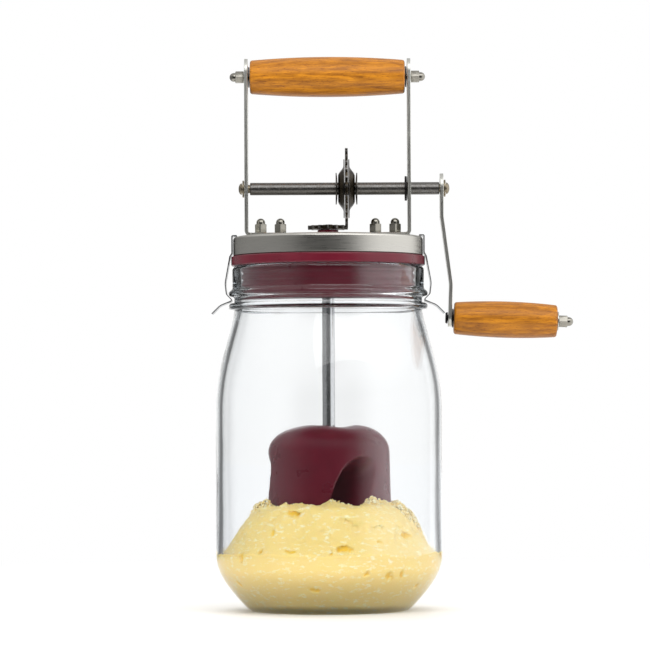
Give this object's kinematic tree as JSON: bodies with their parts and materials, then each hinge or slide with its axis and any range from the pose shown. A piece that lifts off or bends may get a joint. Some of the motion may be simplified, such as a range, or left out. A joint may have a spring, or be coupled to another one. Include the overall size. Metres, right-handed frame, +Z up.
{
  "type": "butter churn",
  "caption": "Hand cranked glass butter churn: a crank turns crossed toothed discs that spin a swept paddle inside the jar.",
  "frame": {"origin": "middle of the jar's flat base, on the beater's axis", "axes": "+Z up along the beater's axis, +X toward the crank arm along the crank shaft, so the front is toward -Y"},
  "size_m": [0.1726, 0.108, 0.2644],
  "materials": {
    "clear_glass": "clear pressed soda-lime glass",
    "burgundy_silicone": "satin moulded silicone",
    "brushed_lid_steel": "brushed stainless sheet",
    "satin_strip_steel": "satin stainless strip",
    "oiled_beech": "turned and oiled",
    "polished_nut_steel": "polished",
    "black_washer_steel": "blackened, satin",
    "spring_clip_steel": "bright rolled spring strip",
    "dark_gear_steel": "dark stamped steel, lightly oiled",
    "bright_shaft_steel": "bright drawn rod"
  },
  "bodies": {
    "jar": {"glass_jar": "clear_glass"},
    "lid": {"steel_lid": "brushed_lid_steel", "lid_seal": "burgundy_silicone", "shaft_bush": "burgundy_silicone", "bracket_left": "satin_strip_steel", "bracket_right": "satin_strip_steel", "foot_nut_left_inner": "polished_nut_steel", "foot_nut_left_outer": "polished_nut_steel", "foot_nut_right_inner": "polished_nut_steel", "foot_nut_right_outer": "polished_nut_steel", "foot_screw_left_inner": "satin_strip_steel", "foot_screw_left_outer": "satin_strip_steel", "foot_screw_right_inner": "satin_strip_steel", "foot_screw_right_outer": "satin_strip_steel", "top_handle": "oiled_beech", "handle_rod": "satin_strip_steel", "handle_nut_left": "polished_nut_steel", "handle_nut_right": "polished_nut_steel", "handle_washer_left": "black_washer_steel", "handle_washer_right": "black_washer_steel", "clip_left": "spring_clip_steel", "clip_right": "spring_clip_steel"},
    "crank": {"crank_shaft": "dark_gear_steel", "drive_disc": "dark_gear_steel", "hub_shell_left": "dark_gear_steel", "hub_shell_right": "dark_gear_steel", "hub_washer_left": "dark_gear_steel", "hub_washer_right": "dark_gear_steel", "head_washer_left": "satin_strip_steel", "head_washer_right": "satin_strip_steel", "stop_washer": "black_washer_steel", "crank_arm": "satin_strip_steel", "grip_screw": "black_washer_steel", "grip_washer_inner": "black_washer_steel", "grip_washer_outer": "satin_strip_steel", "grip_nut": "polished_nut_steel"},
    "grip": {"crank_grip": "oiled_beech"},
    "beater": {"beater_shaft": "bright_shaft_steel", "pinion": "dark_gear_steel", "shaft_collar": "satin_strip_steel", "paddle": "burgundy_silicone"}
  },
  "joints": [
    {"name": "lid_lift", "type": "slide", "parent": "jar", "child": "lid", "axis": [0, 0, 1], "range_m": [0, 0.16], "deforming": ["clip_left", "clip_right"]},
    {"name": "crank_turn", "type": "hinge", "parent": "lid", "child": "crank", "pos_m": [0, 0, 0.2012], "axis": [1, 0, 0], "continuous": true},
    {"name": "grip_spin", "type": "hinge", "parent": "crank", "child": "grip", "pos_m": [0.0581, 0, 0.1391], "axis": [0.9994, 0, -0.0349], "continuous": true},
    {"name": "beater_turn", "type": "hinge", "parent": "lid", "child": "beater", "pos_m": [0, 0, 0.1826], "axis": [0, 0, 1], "continuous": true}
  ],
  "couplings": [
    {"joint": "beater_turn", "follows": "crank_turn", "ratio": 2}
  ]
}
